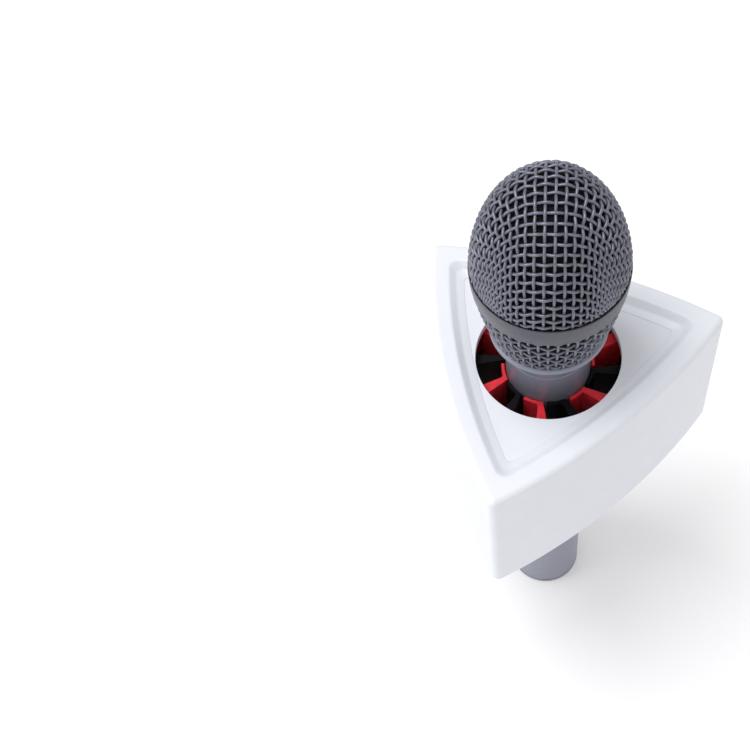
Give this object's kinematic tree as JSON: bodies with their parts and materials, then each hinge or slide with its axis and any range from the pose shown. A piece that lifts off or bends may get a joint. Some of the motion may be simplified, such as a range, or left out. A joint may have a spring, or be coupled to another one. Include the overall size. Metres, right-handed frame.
{
  "type": "handheld microphone with three-sided flag",
  "caption": "Slim handheld microphone with a woven wire head and a blank white three-sided flag gripped on its shaft by springy fins.",
  "frame": {"origin": "centre of the handle's lower end, on the microphone's axis", "axes": "+Z along the microphone from its output socket to its head; -Y towards one corner of the flag; +X to the right of that corner"},
  "size_m": [0.0892, 0.0827, 0.226],
  "materials": {
    "paint": "satin blue-grey textured lacquer",
    "mesh_paint": "satin blue-grey lacquered wire",
    "foam": "open-cell foam",
    "white_plastic": "satin white moulded plastic",
    "black_plastic": "matt",
    "red_rubber": "satin elastomer",
    "black_rubber": "satin elastomer",
    "steel": "turned",
    "copper": "enamelled wire",
    "magnet": "sintered",
    "film": "thin film",
    "gold": "plated"
  },
  "bodies": {
    "handle": {"handle_tube": "paint", "threaded_neck": "steel", "connector_socket": "steel", "connector_insulator": "black_plastic", "contact_pin_1": "gold", "contact_pin_2": "gold", "contact_pin_3": "gold", "connector_screw": "steel", "output_transformer": "magnet", "transformer_boot_lower": "black_rubber", "transformer_boot_upper": "black_rubber", "capsule_lead_live": "red_rubber", "capsule_lead_return": "black_rubber", "output_lead_1": "black_plastic", "output_lead_2": "black_plastic", "output_lead_3": "black_plastic", "rubber_shock_mount": "black_rubber", "capsule_housing": "steel", "magnet_pot": "steel", "magnet": "magnet", "pole_piece": "steel", "capsule_cap": "black_plastic"},
    "moving_coil": {"voice_coil": "copper", "diaphragm": "film"},
    "liner": {"foam_liner": "foam"},
    "basket": {"basket_collar": "paint", "lower_basket": "mesh_paint", "basket_band": "paint", "upper_basket": "mesh_paint"},
    "core": {"core_sleeve": "black_plastic"},
    "flag": {"flag_shell": "white_plastic", "flag_base": "white_plastic", "red_grip_ring": "red_rubber", "black_grip_ring": "black_rubber"},
    "red_grip_fin_1": {"red_grip_fin_1": "red_rubber"},
    "black_grip_fin_1": {"black_grip_fin_1": "black_rubber"},
    "red_grip_fin_2": {"red_grip_fin_2": "red_rubber"},
    "black_grip_fin_2": {"black_grip_fin_2": "black_rubber"},
    "red_grip_fin_3": {"red_grip_fin_3": "red_rubber"},
    "black_grip_fin_3": {"black_grip_fin_3": "black_rubber"},
    "red_grip_fin_4": {"red_grip_fin_4": "red_rubber"},
    "black_grip_fin_4": {"black_grip_fin_4": "black_rubber"},
    "red_grip_fin_5": {"red_grip_fin_5": "red_rubber"},
    "black_grip_fin_5": {"black_grip_fin_5": "black_rubber"},
    "red_grip_fin_6": {"red_grip_fin_6": "red_rubber"},
    "black_grip_fin_6": {"black_grip_fin_6": "black_rubber"}
  },
  "joints": [
    {"name": "coil_travel", "type": "slide", "parent": "handle", "child": "moving_coil", "axis": [0, 0, 1], "range_m": [-0.0002, 0.0002], "stiffness_N_per_m": 200},
    {"name": "basket_rise", "type": "slide", "parent": "handle", "child": "liner", "axis": [0, 0, 1], "range_m": [0, 0.004]},
    {"name": "basket_unscrew", "type": "hinge", "parent": "liner", "child": "basket", "pos_m": [0, 0, 0.16], "axis": [0, 0, 1], "range_deg": [0, 1440]},
    {"name": "flag_slide", "type": "slide", "parent": "handle", "child": "core", "axis": [0, 0, 1], "range_m": [-0.09, 0.008]},
    {"name": "flag_turn", "type": "hinge", "parent": "core", "child": "flag", "pos_m": [0, 0, 0.12], "axis": [0, 0, 1], "continuous": true},
    {"name": "red_fin_1_open", "type": "hinge", "parent": "flag", "child": "red_grip_fin_1", "pos_m": [0.00493, -0.02134, 0.127], "axis": [0, 0, 1], "range_deg": [0, 14], "stiffness_Nm_per_rad": 0.02},
    {"name": "black_fin_1_open", "type": "hinge", "parent": "flag", "child": "black_grip_fin_1", "pos_m": [0.01494, -0.01602, 0.127], "axis": [0, 0, 1], "range_deg": [0, 14], "stiffness_Nm_per_rad": 0.02},
    {"name": "red_fin_2_open", "type": "hinge", "parent": "flag", "child": "red_grip_fin_2", "pos_m": [0.02094, -0.0064, 0.127], "axis": [0, 0, 1], "range_deg": [0, 14], "stiffness_Nm_per_rad": 0.02},
    {"name": "black_fin_2_open", "type": "hinge", "parent": "flag", "child": "black_grip_fin_2", "pos_m": [0.02134, 0.00493, 0.127], "axis": [0, 0, 1], "range_deg": [0, 14], "stiffness_Nm_per_rad": 0.02},
    {"name": "red_fin_3_open", "type": "hinge", "parent": "flag", "child": "red_grip_fin_3", "pos_m": [0.01602, 0.01494, 0.127], "axis": [0, 0, 1], "range_deg": [0, 14], "stiffness_Nm_per_rad": 0.02},
    {"name": "black_fin_3_open", "type": "hinge", "parent": "flag", "child": "black_grip_fin_3", "pos_m": [0.0064, 0.02094, 0.127], "axis": [0, 0, 1], "range_deg": [0, 14], "stiffness_Nm_per_rad": 0.02},
    {"name": "red_fin_4_open", "type": "hinge", "parent": "flag", "child": "red_grip_fin_4", "pos_m": [-0.00493, 0.02134, 0.127], "axis": [0, 0, 1], "range_deg": [0, 14], "stiffness_Nm_per_rad": 0.02},
    {"name": "black_fin_4_open", "type": "hinge", "parent": "flag", "child": "black_grip_fin_4", "pos_m": [-0.01494, 0.01602, 0.127], "axis": [0, 0, 1], "range_deg": [0, 14], "stiffness_Nm_per_rad": 0.02},
    {"name": "red_fin_5_open", "type": "hinge", "parent": "flag", "child": "red_grip_fin_5", "pos_m": [-0.02094, 0.0064, 0.127], "axis": [0, 0, 1], "range_deg": [0, 14], "stiffness_Nm_per_rad": 0.02},
    {"name": "black_fin_5_open", "type": "hinge", "parent": "flag", "child": "black_grip_fin_5", "pos_m": [-0.02134, -0.00493, 0.127], "axis": [0, 0, 1], "range_deg": [0, 14], "stiffness_Nm_per_rad": 0.02},
    {"name": "red_fin_6_open", "type": "hinge", "parent": "flag", "child": "red_grip_fin_6", "pos_m": [-0.01602, -0.01494, 0.127], "axis": [0, 0, 1], "range_deg": [0, 14], "stiffness_Nm_per_rad": 0.02},
    {"name": "black_fin_6_open", "type": "hinge", "parent": "flag", "child": "black_grip_fin_6", "pos_m": [-0.0064, -0.02094, 0.127], "axis": [0, 0, 1], "range_deg": [0, 14], "stiffness_Nm_per_rad": 0.02}
  ],
  "couplings": [
    {"joint": "basket_rise", "follows": "basket_unscrew", "m_per_rad": 0.00015915},
    {"joint": "black_fin_1_open", "follows": "red_fin_1_open", "ratio": 1},
    {"joint": "red_fin_2_open", "follows": "red_fin_1_open", "ratio": 1},
    {"joint": "black_fin_2_open", "follows": "red_fin_1_open", "ratio": 1},
    {"joint": "red_fin_3_open", "follows": "red_fin_1_open", "ratio": 1},
    {"joint": "black_fin_3_open", "follows": "red_fin_1_open", "ratio": 1},
    {"joint": "red_fin_4_open", "follows": "red_fin_1_open", "ratio": 1},
    {"joint": "black_fin_4_open", "follows": "red_fin_1_open", "ratio": 1},
    {"joint": "red_fin_5_open", "follows": "red_fin_1_open", "ratio": 1},
    {"joint": "black_fin_5_open", "follows": "red_fin_1_open", "ratio": 1},
    {"joint": "red_fin_6_open", "follows": "red_fin_1_open", "ratio": 1},
    {"joint": "black_fin_6_open", "follows": "red_fin_1_open", "ratio": 1}
  ]
}
